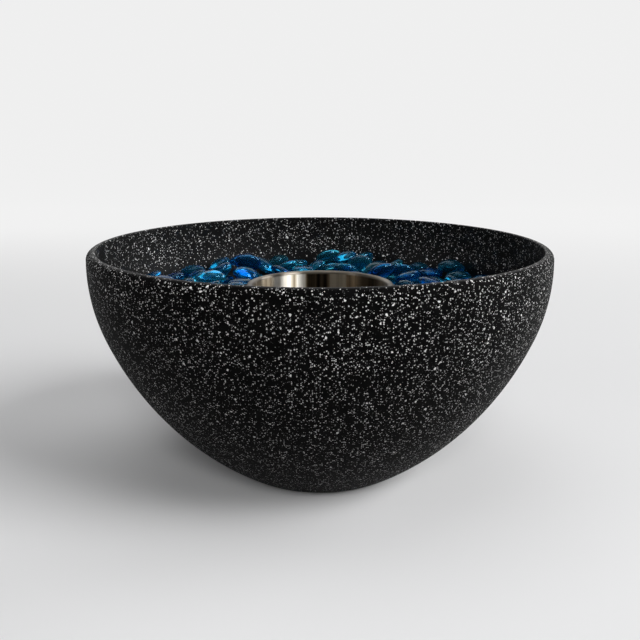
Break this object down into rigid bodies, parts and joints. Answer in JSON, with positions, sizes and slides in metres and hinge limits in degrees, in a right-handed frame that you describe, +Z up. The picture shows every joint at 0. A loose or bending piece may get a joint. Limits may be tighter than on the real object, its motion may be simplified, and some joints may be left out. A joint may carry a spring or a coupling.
{
  "type": "tabletop fire bowl",
  "caption": "Round cast fire bowl for a table: flecked black bowl with a rounded lip, a tray bedded with blue glass gems, and a steel fuel cup that lifts out.",
  "frame": {"origin": "centre of the foot, on the table", "axes": "+Z up along the cup, -Y to the front"},
  "size_m": [0.3, 0.3, 0.155],
  "materials": {
    "cast_composite": "matte black cast composite with dense fine grey and white flecks",
    "stainless_steel": "fine brushed inside, brighter on the rolled rim",
    "gem_glass": "clear deep blue to teal glass, fire polished",
    "pad_rubber": "matte black"
  },
  "bodies": {
    "bowl": {"bowl": "cast_composite", "bead_tray": "cast_composite", "foot_pad_1": "pad_rubber", "foot_pad_2": "pad_rubber", "foot_pad_3": "pad_rubber", "foot_pad_4": "pad_rubber", "gems_bed_1": "gem_glass", "gems_bed_2": "gem_glass", "gems_bed_3": "gem_glass", "gems_bed_4": "gem_glass", "gems_bed_5": "gem_glass", "gems_bed_6": "gem_glass", "gems_bed_7": "gem_glass", "gems_bed_8": "gem_glass", "gems_bed_9": "gem_glass", "gems_bed_10": "gem_glass", "gems_bed_11": "gem_glass", "gems_bed_12": "gem_glass", "gems_top_1": "gem_glass", "gems_top_2": "gem_glass", "gems_top_3": "gem_glass", "gems_top_4": "gem_glass", "gems_top_5": "gem_glass", "gems_top_6": "gem_glass", "gems_top_7": "gem_glass", "gems_top_8": "gem_glass", "gems_top_9": "gem_glass", "gems_top_10": "gem_glass", "gems_top_11": "gem_glass", "gems_top_12": "gem_glass"},
    "fuel_cup": {"fuel_cup": "stainless_steel"}
  },
  "joints": [
    {"name": "cup_lift", "type": "slide", "parent": "bowl", "child": "fuel_cup", "axis": [0, 0, 1], "range_m": [0, 0.1]}
  ]
}
